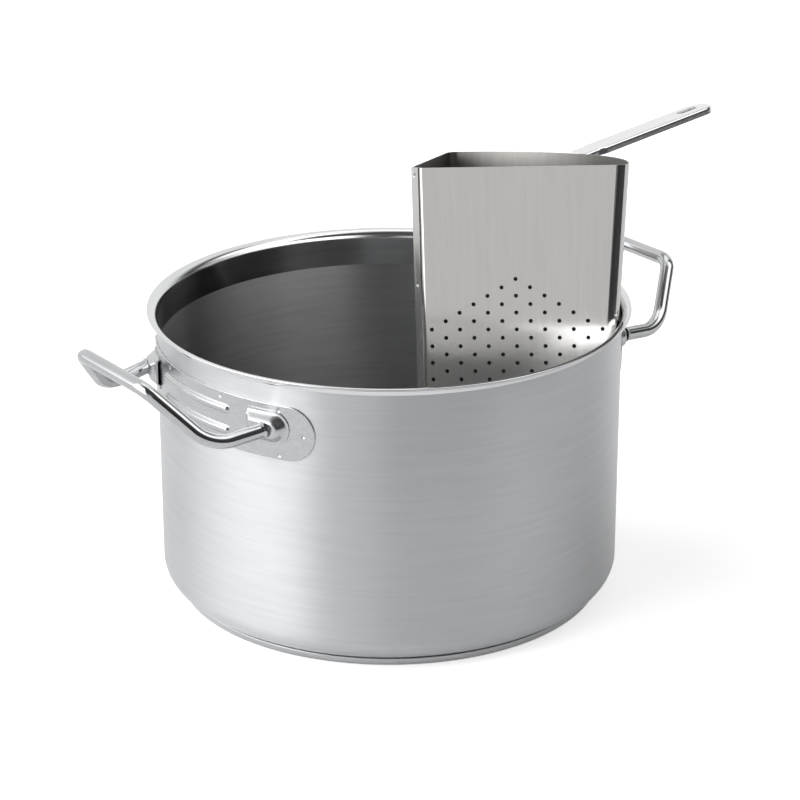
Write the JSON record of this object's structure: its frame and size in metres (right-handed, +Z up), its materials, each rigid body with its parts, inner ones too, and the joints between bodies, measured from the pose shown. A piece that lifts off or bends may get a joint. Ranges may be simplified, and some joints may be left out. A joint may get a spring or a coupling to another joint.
{
  "type": "pasta pot with strainer insert",
  "caption": "Wide round steel pasta pot with bent-tube side handles and a perforated quarter-round strainer insert that hangs on the rim by a hook.",
  "frame": {"origin": "centre of the base cap's underside, where the pot stands", "axes": "+Z up along the pot's axis, the side handles along +X and -X, the strainer hung on the +X side of the rim"},
  "size_m": [0.5928, 0.3744, 0.3423],
  "materials": {
    "brushed_stainless": "brushed round the pot",
    "satin_stainless": "satin sheet",
    "bright_stainless": "polished",
    "aluminium_core": "plain"
  },
  "bodies": {
    "pot": {"pot_body": "brushed_stainless", "base_core": "aluminium_core", "base_cap": "brushed_stainless", "handle_plate_left": "satin_stainless", "handle_plate_right": "satin_stainless", "handle_saddle_left_front": "satin_stainless", "handle_saddle_left_rear": "satin_stainless", "handle_saddle_right_front": "satin_stainless", "handle_saddle_right_rear": "satin_stainless", "handle_tube_left": "bright_stainless", "handle_tube_right": "bright_stainless"},
    "strainer": {"strainer_wall": "satin_stainless", "strainer_seam_strip": "satin_stainless", "strainer_floor": "satin_stainless", "strainer_handle": "bright_stainless", "strainer_handle_foot": "satin_stainless", "drain_hook": "satin_stainless"}
  },
  "joints": [
    {"name": "strainer_lift", "type": "slide", "parent": "pot", "child": "strainer", "axis": [0, 0, 1], "range_m": [0, 0.28]}
  ]
}
